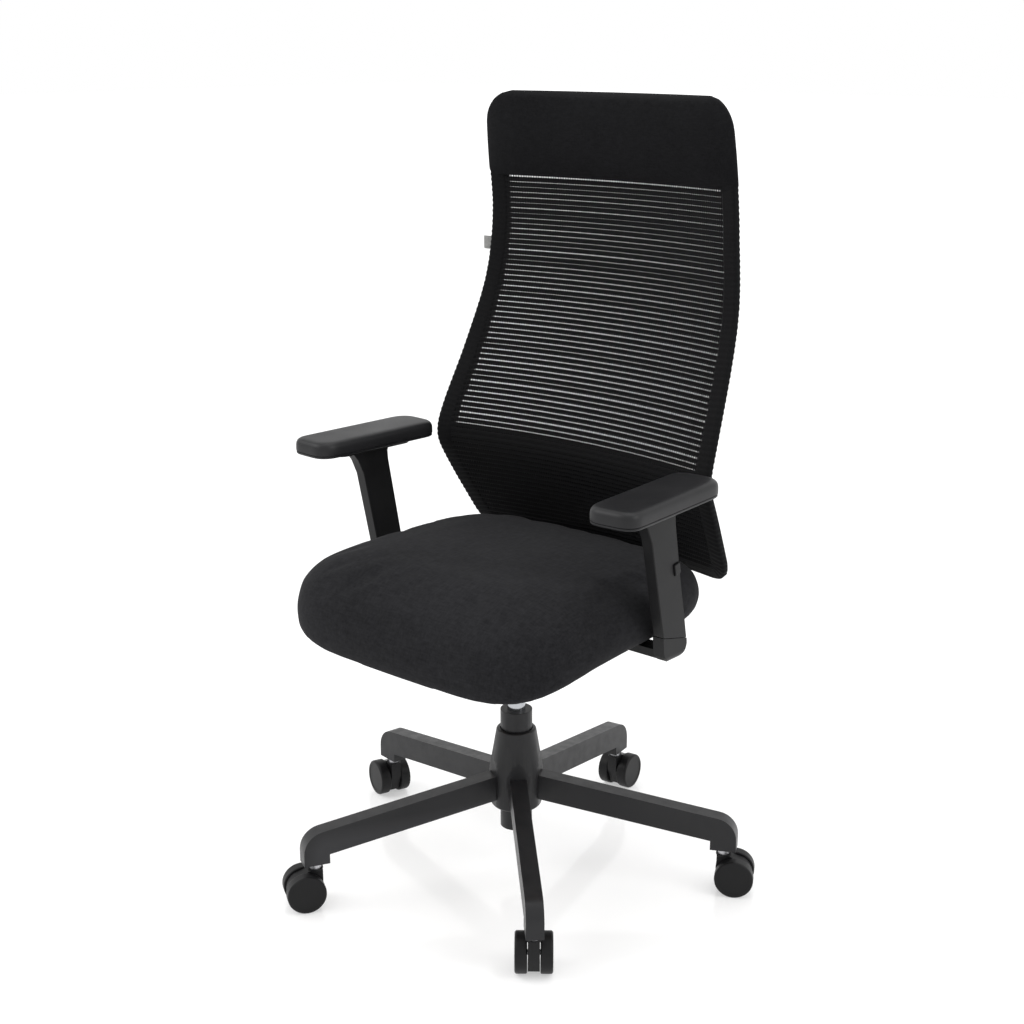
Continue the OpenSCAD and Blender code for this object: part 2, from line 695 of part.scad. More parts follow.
module back_frame() {
    outer = frame_loop(0);
    inner = frame_loop(frame_w);
    behind = frame_loop(rear_draft);
    n = len(outer);
    points = [for (i = [0:n - 1]) each [
        for (c = [[outer, 0], [inner, 0], [inner, frame_t], [behind, frame_t]]) let (p = c[0][i])
            [p[0], back_y(p[0], p[1]) + c[1], p[1]]]];
    faces = [for (i = [0:n - 1], k = [0:3]) let (j = (i + 1) % n, m = (k + 1) % 4)
        each [[4 * i + k, 4 * j + m, 4 * j + k], [4 * i + k, 4 * i + m, 4 * j + m]]];
    color("#161718") polyhedron(points = points, faces = faces);
}

mesh_t = 2;
layer_gap = 0.3;
seam_top_z = back_top_z - headrest_h;
panel_top_z = lumbar_z + 8;
panel_bottom_z = back_bottom_z + frame_w;
shell_t = 4;

module back_mesh() {
    color("#2b2c30") back_sheet(back_bottom_z, seam_top_z - 0.5, 0, -mesh_t - layer_gap, -layer_gap);
}

module headrest_pad() {
    edge_t = 6;
    color("#222327") back_sheet(seam_top_z, back_top_z, 0, -edge_t, -layer_gap, headrest_t - edge_t);
}

module lumbar_panel() {
    color("#202124") back_sheet(panel_bottom_z + 0.5, panel_top_z, frame_w + 0.5, layer_gap, frame_t);
}

module rear_shell() {
    color("#0f1011") difference() {
        back_sheet(back_bottom_z + rear_draft, panel_top_z + 12, rear_draft, frame_t + layer_gap, frame_t + shell_t);
        back_bolt_holes(3);
    }
}

bolt_rows = [panel_bottom_z + 40, panel_bottom_z + 80];
bar_bend_r = 33;

back_bolt_x = [-18, 18];
bar_gap = 1.2;

module back_bolt_holes(r) {
    for (x = back_bolt_x, z = bolt_rows) translate([x, 0, z]) rotate([-90, 0, 0]) cylinder(r = r, h = 400);
}

// Rear face of the shell on the middle line
function back_line(z) = curve(back_side, z) + back_hollow + frame_t + shell_t;

// Heights at which the bar follows the shell
function bar_heights() = concat([for (z = [back_bottom_z + 4:12:bolt_rows[1] + 8]) z], [bolt_rows[1] + 14]);

// Side view of the bar: level run, bend, rise behind the shell; a yoke carries it on the pivot
module back_bar() {
    p = back_pivot;
    front_y = back_line(back_bottom_z) + 3;
    run_z = p[1] - 4;
    start_y = mech_rear + 9;
    hs = bar_heights();
    color("#1b1c1e") difference() {
        union() {
            along_x(-bar_w / 2, bar_w / 2) polygon(concat(
                [[start_y, run_z - bar_t / 2]],
                arc(front_y - bar_bend_r, run_z + bar_t / 2 + bar_bend_r, bar_bend_r + bar_t, 270, 360, 6),
                [[front_y + bar_t, back_bottom_z - 10]],
                [for (z = hs) [back_line(z) + bar_t, z]],
                [for (i = [len(hs) - 1:-1:0]) [back_line(hs[i]) + bar_gap, hs[i]]],
                [[front_y, back_bottom_z - 10]],
                arc(front_y - bar_bend_r, run_z + bar_t / 2 + bar_bend_r, bar_bend_r, 360, 270, 6),
                [[start_y, run_z + bar_t / 2]]));
            // yoke: a cross piece and two cheeks outside the housing
            translate([-mech_half_w - 9, start_y, run_z - bar_t / 2]) cube([2 * mech_half_w + 18, 13, bar_t]);
            for (s = [-1, 1]) translate([s > 0 ? mech_half_w + 1 : -mech_half_w - 9, p[0] - 12, run_z - bar_t / 2])
                cube([8, start_y + 13 - p[0] + 12, bar_t + 8]);
        }
        pivot_at(p, pivot_r + run_gap);
        back_bolt_holes(3);
    }
}

module back_bolts() {
    head = bar_t + 6;
    color("silver") for (x = back_bolt_x, z = bolt_rows) {
        translate([x, back_line(z) + head, z]) rotate([-90, 0, 0]) cylinder(r = 6, h = 4, $fn = 24);
        translate([x, back_line(z) - 1, z]) rotate([-90, 0, 0]) cylinder(r = 3, h = head + 1 + eps);
    }
}

// ---- casters ----

// Places its children at caster i, trailing along its heading
module at_caster(i) {
    a = leg_first + (i - 1) * 360 / legs;
    translate([caster_circle_r * cos(a), caster_circle_r * sin(a), 0]) rotate([0, 0, caster_heading[i - 1]])
        children();
}

hood_top_z = leg_end_z - 8;
collar_top_z = leg_end_z - 1;

module caster_housing() {
    color("#151617") difference() {
        union() {
            rotate([90, 0, 0]) linear_extrude(hood_w, center = true) polygon(concat(
                arc(caster_trail, wheel_r, wheel_r - 3, -130, 60, 14),
                [[8, hood_top_z - 2], [-10, hood_top_z - 2], [-10, wheel_r + 6]]));
            translate([0, 0, wheel_r + 6]) cylinder(r = hood_w / 2, h = hood_top_z - wheel_r - 6);
            translate([0, 0, 2 * wheel_r + 0.5]) cylinder(r = 11.5, h = hood_top_z - 2 * wheel_r - 0.5);
        }
        translate([caster_trail, 0, wheel_r]) rotate([90, 0, 0]) cylinder(r = axle_r, h = 100, center = true);
        translate([0, 0, wheel_r + 12]) cylinder(r = stem_r, h = 60);
    }
}

module caster_pins() {
    color("silver") {
        translate([0, 0, wheel_r + 12]) cylinder(r = stem_r, h = socket_top_z - 8 - wheel_r - 12);
        ring(9, stem_r, hood_top_z, collar_top_z);
        translate([caster_trail, 0, wheel_r]) rotate([90, 0, 0])
            cylinder(r = axle_r, h = hood_w + 2 * wheel_w - 8, center = true);
    }
}

module caster_wheel(s) {
    gap = 1;
    w = wheel_w;
    color("#101112") translate([caster_trail, s * (hood_w / 2 + gap), wheel_r]) rotate([s > 0 ? -90 : 90, 0, 0])
        rotate_extrude($fn = 96) polygon(concat(
            [[axle_r + run_gap, 0], [wheel_r - 2, 0]], arc(wheel_r - 2, 2, 2, -90, 0, 3),
            arc(wheel_r - 3.5, w - 3.5, 3.5, 0, 90, 5),
            [[wheel_r - 6, w], [wheel_r - 7, w - 0.8], [0, w - 0.8], [0, w - 4], [axle_r + run_gap, w - 4]]));
}

// ---- the assembly ----

base_hub();
base_legs();
stem_sockets();
gas_tube();
tube_bush();
thrust_bearing();
piston_rod();
gas_cylinder();
valve_pin();
mechanism_housing();
pivot_pins();
tension_spring();
tension_knob();
height_lever();
tilt_lever();
seat_plate();
seat_board();
seat_cushion();
seat_bolts();
arm_bracket(1);  // arm_bracket_left
arm_bracket(-1);  // arm_bracket_right
arm_upright(1);  // arm_upright_left
arm_upright(-1);  // arm_upright_right
arm_sleeve(1);  // arm_sleeve_left
arm_sleeve(-1);  // arm_sleeve_right
height_button(1);  // height_button_left
height_button(-1);  // height_button_right
pad_slide(1);  // pad_slide_left
pad_slide(-1);  // pad_slide_right
arm_pad(1);  // arm_pad_left
arm_pad(-1);  // arm_pad_right
pad_button(1);  // pad_button_left
pad_button(-1);  // pad_button_right
back_bar();
back_frame();
lumbar_panel();
rear_shell();
back_mesh();
headrest_pad();
back_bolts();
for (i = [1:legs]) {
    at_caster(i) caster_housing();
    at_caster(i) caster_pins();
    at_caster(i) caster_wheel(1);
    at_caster(i) caster_wheel(-1);
}
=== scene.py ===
"""Looks of a black swivel office chair with a ribbed mesh back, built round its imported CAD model.

Metres, +Z up, origin on the floor at the column axis; the sitter faces -Y and +X is the sitter's left.
"""

import math

import bmesh
import bpy
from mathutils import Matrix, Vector
from mathutils.bvhtree import BVHTree


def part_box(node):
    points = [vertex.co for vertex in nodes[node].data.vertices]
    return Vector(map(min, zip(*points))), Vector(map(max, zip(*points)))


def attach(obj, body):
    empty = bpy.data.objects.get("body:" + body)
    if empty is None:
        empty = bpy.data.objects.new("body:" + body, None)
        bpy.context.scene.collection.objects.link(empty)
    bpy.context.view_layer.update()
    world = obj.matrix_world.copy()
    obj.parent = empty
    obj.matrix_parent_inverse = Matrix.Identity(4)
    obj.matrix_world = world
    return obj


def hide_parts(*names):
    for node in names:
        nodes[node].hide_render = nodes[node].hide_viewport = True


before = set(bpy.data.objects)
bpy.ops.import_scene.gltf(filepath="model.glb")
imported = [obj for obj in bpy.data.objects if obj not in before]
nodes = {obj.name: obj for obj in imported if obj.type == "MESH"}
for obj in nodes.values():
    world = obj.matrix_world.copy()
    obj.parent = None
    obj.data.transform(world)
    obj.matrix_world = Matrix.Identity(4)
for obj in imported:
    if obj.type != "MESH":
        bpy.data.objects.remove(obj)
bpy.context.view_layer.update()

MM = 0.001
SIDES = ("left", "right")
CASTERS = range(1, 6)


# ---- materials ----

def new_material(name, color, roughness, shine=0.3):
    """A material with its shader ready; returns the material, its tree and the shader."""
    mat = bpy.data.materials.new(name)
    mat.use_nodes = True
    shader = mat.node_tree.nodes["Principled BSDF"]
    shader.inputs["Base Color"].default_value = (*color, 1)
    shader.inputs["Roughness"].default_value = roughness
    shader.inputs["Specular IOR Level"].default_value = shine
    mat.diffuse_color = (*color, 1)
    return mat, mat.node_tree, shader


def add(tree, kind, **values):
    """A new node; names that are inputs are set as inputs, others as the node's own properties."""
    node = tree.nodes.new(kind)
    for key, value in values.items():
        if key in node.inputs:
            node.inputs[key].default_value = value
        else:
            setattr(node, key, value)
    return node


def place(tree, scale=(1, 1, 1)):
    """Object coordinates, scaled."""
    coordinates = add(tree, "ShaderNodeTexCoord")
    mapping = add(tree, "ShaderNodeMapping", Scale=scale)
    tree.links.new(coordinates.outputs["Object"], mapping.inputs["Vector"])
    return mapping.outputs["Vector"]


def noise(tree, scale, detail, vector=None):
    """A noise factor at so many features to the metre."""
    node = add(tree, "ShaderNodeTexNoise", Scale=scale, Detail=detail, Roughness=0.55)
    tree.links.new(vector or place(tree), node.inputs["Vector"])
    return node.outputs["Fac"]


def combine(tree, operation, a, b):
    """Arithmetic on two factors; either may be a number."""
    node = add(tree, "ShaderNodeMath", operation=operation)
    for socket, value in zip(node.inputs, (a, b)):
        if isinstance(value, (int, float)):
            socket.default_value = value
        else:
            tree.links.new(value, socket)
    return node.outputs[0]


def ramp(tree, factor, low, high, dark, light):
    """Maps a factor between two stops to two colours or two grey levels."""
    node = add(tree, "ShaderNodeValToRGB")
    stops = node.color_ramp.elements
    stops[0].position, stops[1].position = low, high
    stops[0].color = (*dark, 1) if isinstance(dark, tuple) else (dark, dark, dark, 1)
    stops[1].color = (*light, 1) if isinstance(light, tuple) else (light, light, light, 1)
    tree.links.new(factor, node.inputs["Fac"])
    return node.outputs["Color"]


def bump(tree, shader, height, strength, distance):
    """Raises the surface by a factor, over so many metres."""
    node = add(tree, "ShaderNodeBump", Strength=strength, Distance=distance)
    tree.links.new(height, node.inputs["Height"])
    tree.links.new(node.outputs["Normal"], shader.inputs["Normal"])


def edge_wear(tree):
    """Near 1 on sharp outer edges, 0.5 on flats."""
    return add(tree, "ShaderNodeNewGeometry").outputs["Pointiness"]


def powder_coat(name="powder_coat", color=(0.0095, 0.0095, 0.0105), gloss=0.36):
    """Satin black powder coat: a fine orange peel, and paint worn a little paler on edges."""
    mat, tree, shader = new_material(name, color, gloss)
    worn = ramp(tree, edge_wear(tree), 0.52, 0.62, color, tuple(2.4 * c for c in color))
    tree.links.new(worn, shader.inputs["Base Color"])
    tree.links.new(ramp(tree, noise(tree, 60, 4), 0.3, 0.75, gloss - 0.05, gloss + 0.11),
                   shader.inputs["Roughness"])
    bump(tree, shader, noise(tree, 900, 2), 0.25, 0.0003)
    return mat


def moulded(name, color, gloss, grain=1400):
    """Moulded nylon: fine spark grain, faint flow marks, edges rubbed shinier."""
    mat, tree, shader = new_material(name, color, gloss, 0.2)
    flow = noise(tree, 22, 3)
    deep, faded = tuple(0.85 * c for c in color), tuple(1.25 * c for c in color)
    tree.links.new(ramp(tree, flow, 0.25, 0.8, deep, faded), shader.inputs["Base Color"])
    rubbed = combine(tree, "SUBTRACT", ramp(tree, flow, 0.3, 0.7, gloss, gloss + 0.08),
                     ramp(tree, edge_wear(tree), 0.53, 0.62, 0.0, 0.10))
    tree.links.new(rubbed, shader.inputs["Roughness"])
    bump(tree, shader, noise(tree, grain, 2), 0.35, 0.0002)
    return mat


def pad_skin():
    """Soft polyurethane skin of the arm pads: fine leather-like grain, palms' polish in patches."""
    mat, tree, shader = new_material("pad_skin", (0.011, 0.011, 0.012), 0.43, 0.27)
    cells = add(tree, "ShaderNodeTexVoronoi", Scale=900.0)
    tree.links.new(place(tree), cells.inputs["Vector"])
    grain = combine(tree, "ADD", cells.outputs["Distance"], noise(tree, 420, 3))
    tree.links.new(ramp(tree, noise(tree, 9, 3), 0.3, 0.75, 0.38, 0.52), shader.inputs["Roughness"])
    tree.links.new(ramp(tree, noise(tree, 14, 3), 0.2, 0.8, (0.008, 0.008, 0.009), (0.014, 0.014, 0.015)),
                   shader.inputs["Base Color"])
    bump(tree, shader, grain, 0.25, 0.0003)
    return mat


def gloss_shell():
    """Glossy moulding with a clear surface over faint ripples."""
    mat, tree, shader = new_material("gloss_shell", (0.004, 0.004, 0.005), 0.13, 0.5)
    shader.inputs["Coat Weight"].default_value = 0.4
    shader.inputs["Coat Roughness"].default_value = 0.06
    tree.links.new(ramp(tree, noise(tree, 30, 3), 0.3, 0.8, 0.09, 0.2), shader.inputs["Roughness"])
    bump(tree, shader, noise(tree, 40, 2), 0.08, 0.001)
    return mat


def metal(name, color, gloss, brushed=0.0):
    """Plated metal with fine marks, drawn out lengthways where it is brushed."""
    mat, tree, shader = new_material(name, color, gloss)
    shader.inputs["Metallic"].default_value = 1.0
    marks = noise(tree, 300, 4, place(tree, (1, 1, 0.05 if brushed else 1)))
    tree.links.new(ramp(tree, marks, 0.3, 0.7, gloss, gloss + 0.1 + brushed), shader.inputs["Roughness"])
    bump(tree, shader, marks, 0.1, 0.0002)
    return mat


def woven(name, dark, light, pitch, relief, sheen):
    """Plain weave of uneven spun yarn: threads both ways, slubs, and a faint sheen."""

    def blend(a, b, share):
        """Share of a, and the rest of b."""
        parts = [combine(tree, "MULTIPLY", a, share), combine(tree, "MULTIPLY", b, 1 - share)]
        return combine(tree, "ADD", *parts)

    mat, tree, shader = new_material(name, light, 0.92, 0.08)
    weft = noise(tree, 0.45 / pitch, 2, place(tree, (0.16, 1, 1)))
    warp = noise(tree, 0.45 / pitch, 2, place(tree, (1, 0.16, 0.5)))
    mixed = blend(blend(weft, warp, 0.5), noise(tree, 120, 4), 0.7)
    tone = blend(mixed, noise(tree, 6, 4), 0.7)
    tree.links.new(ramp(tree, tone, 0.36, 0.64, dark, light), shader.inputs["Base Color"])
    shader.inputs["Sheen Weight"].default_value = sheen
    shader.inputs["Sheen Roughness"].default_value = 0.5
    bump(tree, shader, mixed, 0.5, relief)
    return mat


def strand_yarn():
    """Spun polyester of the mesh: matt with a slight lustre along the threads."""
    mat, tree, shader = new_material("strand_yarn", (0.005, 0.005, 0.0055), 0.75, 0.06)
    twist = noise(tree, 1500, 2, place(tree, (0.25, 1, 1)))
    tree.links.new(ramp(tree, twist, 0.3, 0.7, (0.003, 0.003, 0.0034), (0.008, 0.008, 0.0085)),
                   shader.inputs["Base Color"])
    shader.inputs["Sheen Weight"].default_value = 0.02
    bump(tree, shader, twist, 0.4, 0.0003)
    return mat


def bare_ply():
    """Birch ply: long grain with pale and dark plies."""
    mat, tree, shader = new_material("bare_ply", (0.45, 0.32, 0.2), 0.6)
    grain = noise(tree, 60, 5, place(tree, (1, 0.06, 1)))
    tree.links.new(ramp(tree, grain, 0.3, 0.7, (0.33, 0.22, 0.13), (0.5, 0.37, 0.24)),
                   shader.inputs["Base Color"])
    bump(tree, shader, grain, 0.2, 0.0004)
    return mat


PAINT = powder_coat()
NYLON = moulded("satin_nylon", (0.0095, 0.0095, 0.010), 0.42)
WHEEL_NYLON = moulded("wheel_nylon", (0.0065, 0.0065, 0.007), 0.40, 900)
MECH_PAINT = powder_coat("mechanism_paint", (0.010, 0.010, 0.011), 0.42)
GLOSS = gloss_shell()
SKIN = pad_skin()
CHROME = metal("chrome_plate", (0.42, 0.43, 0.45), 0.07)
STEEL = metal("zinc_plate", (0.5, 0.5, 0.52), 0.3, 0.08)
SEAT_CLOTH = woven("seat_cloth", (0.007, 0.007, 0.008), (0.019, 0.019, 0.021), 0.0012, 0.0005, 0.03)
KNIT = woven("headrest_knit", (0.003, 0.003, 0.0035), (0.009, 0.009, 0.010), 0.0008, 0.0003, 0.015)
BACKING = woven("backing_knit", (0.0012, 0.0012, 0.0014), (0.003, 0.003, 0.0034), 0.0008, 0.0003, 0.0)
YARN = strand_yarn()
PLY = bare_ply()

# ---- mesh helpers ----


def finish_piece(obj, body, replaced=()):
    """Puts a finished mesh on its body and hides the CAD nodes that it stands for."""
    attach(obj, body)
    if replaced:
        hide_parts(*replaced)
    return obj


def link_mesh(name, mesh, material, sharp=35):
    obj = bpy.data.objects.new(name, mesh)
    bpy.context.scene.collection.objects.link(obj)
    mesh.materials.clear()
    mesh.materials.append(material)
    mesh.polygons.foreach_set("use_smooth", [True] * len(mesh.polygons))
    if sharp:
        mesh.set_sharp_from_angle(angle=math.radians(sharp))
    return obj


def from_points(name, points, faces, material, sharp=35):
    mesh = bpy.data.meshes.new(name)
    mesh.from_pydata([tuple(p) for p in points], [], faces)
    bm = bmesh.new()
    bm.from_mesh(mesh)
    bmesh.ops.recalc_face_normals(bm, faces=bm.faces)
    bm.to_mesh(mesh)
    bm.free()
    return link_mesh(name, mesh, material, sharp)


def settled(obj):
    """Applies every modifier and leaves a plain mesh."""
    done = bpy.data.meshes.new_from_object(obj.evaluated_get(bpy.context.evaluated_depsgraph_get()))
    obj.modifiers.clear()
    obj.data = done
    return obj


def evenly(loop, count):
    """A closed outline walked in equal steps."""
    lengths = [math.dist(a, b) for a, b in zip(loop, loop[1:] + loop[:1])]
    total, out, i, walked = sum(lengths), [], 0, 0.0
    for k in range(count):
        target = total * k / count
        while walked + lengths[i] < target:
            walked += lengths[i]
            i += 1
        f = (target - walked) / lengths[i]
        a, b = loop[i], loop[(i + 1) % len(loop)]
        out.append((a[0] + f * (b[0] - a[0]), a[1] + f * (b[1] - a[1])))
    return out


def smooth_loop(loop, passes):
    """A closed outline with its corners eased."""
    for _ in range(passes):
        loop = [((a[0] + 2 * b[0] + c[0]) / 4, (a[1] + 2 * b[1] + c[1]) / 4)
                for a, b, c in zip(loop[-1:] + loop[:-1], loop, loop[1:] + loop[:1])]
    return loop


def skinned(rings, joined=False):
    """Points and faces of a skin through rings of equal length, its ends joined together or capped."""
    n, count = len(rings[0]), len(rings)
    points = [p for ring in rings for p in ring]
    faces = []
    for j in range(count if joined else count - 1):
        here, there = j * n, (j + 1) % count * n
        faces += [[here + i, here + (i + 1) % n, there + (i + 1) % n, there + i] for i in range(n)]
    if not joined:
        faces += [list(range(n))[::-1], [(count - 1) * n + i for i in range(n)]]
    return points, faces


def eased(node, body, material, width, split=False):
    """A copy of a hard CAD node with its edges rounded, which then stands for it.

    Split first cuts its many-cornered flats into triangles, where rounding would fold them over.
    """
    mesh = bpy.data.meshes.new(node + "_eased")
    bm = bmesh.new()
    bm.from_mesh(nodes[node].data)
    bmesh.ops.remove_doubles(bm, verts=bm.verts, dist=0.01 * MM)
    bmesh.ops.dissolve_limit(bm, angle_limit=math.radians(0.8), verts=bm.verts, edges=bm.edges)
    if split:
        bmesh.ops.triangulate(bm, faces=[f for f in bm.faces if len(f.verts) > 4])
    bm.to_mesh(mesh)
    bm.free()
    obj = link_mesh(node + "_eased", mesh, material, None)
    bevel = obj.modifiers.new("edge_round", "BEVEL")
    bevel.width = width
    bevel.segments = 3
    bevel.limit_method = "ANGLE"
    bevel.angle_limit = math.radians(40)
    bevel.use_clamp_overlap = True
    flats = obj.modifiers.new("flats_stay_flat", "WEIGHTED_NORMAL")
    flats.keep_sharp = True
    flats.weight = 80
    settled(obj)
    return finish_piece(obj, body, [node])


# ---- the back's surface, read from the CAD ----

def tree_of(node):
    mesh = nodes[node].data
    return BVHTree.FromPolygons([v.co for v in mesh.vertices], [p.vertices for p in mesh.polygons])


MESH_FRONT = 2.3 * MM       # how far the CAD mesh's front stands ahead of the frame's front
PAD_REAR = 0.3 * MM         # how far the CAD pad's rear stands ahead of it
FRAME_T = 14 * MM
RIM_W = 28 * MM
BACK_STEP = 4 * MM
BACK_LOW, BACK_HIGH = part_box("back_frame")[0].z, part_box("back_frame")[1].z
SEAM_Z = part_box("headrest_pad")[0].z
PANEL_TOP_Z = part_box("lumbar_panel")[1].z
mesh_tree, pad_tree, frame_tree = tree_of("back_mesh"), tree_of("headrest_pad"), tree_of("back_frame")


def depth_at(x, z):
    """Y of the frame's front surface at x, z."""
    if z < SEAM_Z - 1 * MM:
        hit = mesh_tree.ray_cast(Vector((x, -1, z)), Vector((0, 1, 0)))[0]
        return hit.y + MESH_FRONT
    hit = pad_tree.ray_cast(Vector((x, 1, z)), Vector((0, -1, 0)))[0]
    return hit.y + PAD_REAR


def half_width_at(z):
    """Half width of the frame's outline at z: the furthest point of its mesh at that height."""
    mesh = nodes["back_frame"].data
    widest = 0.0
    for face in mesh.polygons:
        corners = [mesh.vertices[i].co for i in face.vertices]
        for a, b in zip(corners, corners[1:] + corners[:1]):
            if (a.z - z) * (b.z - z) <= 0 and a.z != b.z:
                t = (z - a.z) / (b.z - a.z)
                widest = max(widest, a.x + t * (b.x - a.x))
    return widest


def smoothed(values, passes=3):
    for _ in range(passes):
        inner = [(a + 2 * b + c) / 4 for a, b, c in zip(values, values[1:], values[2:])]
        values = [values[0], *inner, values[-1]]
    return values


SAMPLES = int((BACK_HIGH - BACK_LOW) / BACK_STEP)
CURVE_X = 0.15
back_zs = [BACK_LOW + 0.5 * MM + (BACK_HIGH - BACK_LOW - MM) * i / SAMPLES for i in range(SAMPLES + 1)]
mid_depths = smoothed([depth_at(0, z) for z in back_zs])
hollows = smoothed([(depth_at(0, z) - depth_at(CURVE_X, z)) / CURVE_X ** 2 for z in back_zs], 6)
half_widths = [half_width_at(z) for z in back_zs]


def between(values, z):
    """Linear value at height z from samples along the back."""
    t = (z - back_zs[0]) / (back_zs[-1] - back_zs[0]) * SAMPLES
    i = max(0, min(SAMPLES - 1, int(t)))
    f = max(0.0, min(1.0, t - i))
    return values[i] * (1 - f) + values[i + 1] * f


def back_y(x, z):
    return between(mid_depths, z) - between(hollows, z) * x * x


def back_half(z):
    return between(half_widths, z)


def back_normal(x, z):
    """Unit normal of the back surface, towards the sitter."""
    d = 2 * MM
    slope_x = (back_y(x + d, z) - back_y(x - d, z)) / (2 * d)
    slope_z = (back_y(x, z + d) - back_y(x, z - d)) / (2 * d)
    return Vector((slope_x, -1, slope_z)).normalized()


def back_point(x, z, out=0.0):
    """Point on the back surface, moved out towards the sitter."""
    return Vector((x, back_y(x, z), z)) + back_normal(x, z) * out


def outline_points(step):
    """The back's outline as (x, z, outward direction), evenly spaced, anticlockwise from the front."""
    rough = [(back_half(z), z) for z in back_zs]
    edge_parts = 60
    shares = [1 - 2 * i / edge_parts for i in range(1, edge_parts)]
    across = [(rough[-1][0] * share, BACK_HIGH) for share in shares]
    below = [(-rough[0][0] * share, BACK_LOW) for share in shares]
    loop = rough + across + [(-x, z) for x, z in reversed(rough)] + below
    lengths = [math.dist(a, b) for a, b in zip(loop, loop[1:] + loop[:1])]
    count = round(sum(lengths) / step)
    spaced = smooth_loop(evenly(loop, count), 12)
    result = []
    for k, (x, z) in enumerate(spaced):
        before, after = spaced[k - 3], spaced[(k + 3) % count]
        along = Vector((after[0] - before[0], after[1] - before[1])).normalized()
        result.append((x, z, Vector((along.y, -along.x))))
    return result


# ---- back pieces ----

REAR_DRAFT = 8 * MM         # how far the rim's rear is drawn in from its outline
RIB_PITCH = 8.3 * MM
THREAD_PITCH = 4.4 * MM


def rim_section(sides=20, w=RIM_W, t=FRAME_T + 3.4 * MM, round_power=0.42):
    """Cross-section of the cloth-wrapped rim: (inward from the outer edge, towards the sitter)."""
    section = []
    for i in range(sides):
        a = math.tau * i / sides
        u = math.copysign(abs(math.cos(a)) ** round_power, math.cos(a))
        v = math.copysign(abs(math.sin(a)) ** round_power, math.sin(a))
        inward = w / 2 * (1 + u)
        section.append((inward + REAR_DRAFT * max(0.0, -v) * (1 - inward / w), t / 2 * v))
    return section


def make_rim():
    """The frame wrapped in the mesh's own cloth: its ribs run round the edge as low rings."""
    rings = []
    outline = outline_points(2.0 * MM)
    mid = -(FRAME_T - 3.0 * MM) / 2
    for x, z, outward in outline:
        upright = abs(outward.x)
        hidden = max(0.0, min(1.0, (z - SEAM_Z - 6 * MM) / (8 * MM)))
        rib = 0.35 * MM * upright * math.cos(math.tau * z / RIB_PITCH)
        normal = back_normal(x, z)
        ring = []
        for inward, ahead in rim_section():
            swell = rib if abs(ahead) > 3 * MM or inward < RIM_W / 2 else 0
            inset = inward * (1 - 0.3 * hidden) + 5 * MM * hidden - swell
            at = Vector((x, back_y(x, z), z)) - Vector((outward.x, 0, outward.y)) * inset
            at.y = back_y(at.x, at.z)
            ring.append(at + normal * (mid + ahead * (1 - 0.45 * hidden) * (1 + swell / (FRAME_T / 2))))
        rings.append(ring)
    points, faces = skinned(rings, joined=True)
    rim = from_points("back_rim", points, faces, YARN, None)
    return finish_piece(rim, "back", ["back_frame"])


def surface_grid(name, z0, z1, inset, front, rear, material, columns=48, step=6 * MM):
    """A closed sheet that follows the back, front and rear measured ahead of the frame's front."""
    rows = max(6, round((z1 - z0) / step))
    rings = []
    for j in range(rows + 1):
        z = z0 + (z1 - z0) * j / rows
        w = back_half(z) - inset
        xs = [-w + 2 * w * i / columns for i in range(columns + 1)]
        rings.append([back_point(x, z, front) for x in xs] + [back_point(x, z, rear) for x in reversed(xs)])
    points, faces = skinned(rings)
    return from_points(name, points, faces, material, 50)


